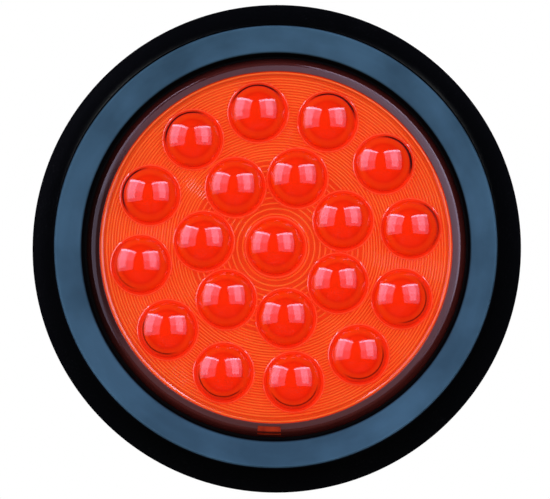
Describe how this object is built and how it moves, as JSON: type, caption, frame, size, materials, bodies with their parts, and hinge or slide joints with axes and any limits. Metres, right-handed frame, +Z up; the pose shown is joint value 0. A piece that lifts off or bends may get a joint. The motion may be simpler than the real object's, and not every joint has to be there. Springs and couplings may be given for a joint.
{
  "type": "trailer tail light",
  "caption": "Round sealed LED stop, turn and tail lamp with domed optics, held in a rubber panel grommet, three-pin socket behind.",
  "frame": {"origin": "on the lamp's axis, in the plane of the panel's front face, which the back of the grommet's front flange seats on", "axes": "+Y along the lamp's axis, from the lit face to the socket behind the panel; the lit face looks towards -Y; +Z is up; +X is to the right, seen from in front"},
  "size_m": [0.135, 0.0433, 0.135],
  "materials": {
    "rubber": "black moulded rubber with a slate-blue bloom on the front ring",
    "red_lens": "clear red polycarbonate, polished",
    "black_housing": "black moulded plastic, fine grain",
    "sealant": "dark glossy sealant",
    "white_reflector": "white moulded plastic",
    "board": "green solder mask",
    "led_epoxy": "water-clear epoxy",
    "tinned_wire": "tinned steel",
    "solder": "bright solder",
    "chip_black": "black moulding compound",
    "capacitor_can": "aluminium can",
    "potting_resin": "black potting resin",
    "brass_pin": "plain brass"
  },
  "bodies": {
    "root": {"grommet": "rubber"},
    "lamp": {"lens": "red_lens", "housing": "black_housing", "stop_pin": "brass_pin", "tail_pin": "brass_pin", "ground_pin": "brass_pin", "reflector": "white_reflector", "circuit_board": "board", "leds_outer_ring": "led_epoxy", "leds_inner_ring": "led_epoxy", "led_centre": "led_epoxy", "led_legs": "tinned_wire", "leg_solder": "solder", "pin_solder": "solder", "string_resistors": "chip_black", "tail_resistors": "chip_black", "current_regulators": "chip_black", "polarity_diodes": "chip_black", "surge_suppressor": "chip_black", "capacitors": "capacitor_can", "potting": "potting_resin", "seal_bead": "sealant"}
  },
  "joints": [
    {"name": "lamp_turn", "type": "hinge", "parent": "root", "child": "lamp", "pos_m": [0, 0, 0], "axis": [0, 1, 0], "continuous": true}
  ]
}
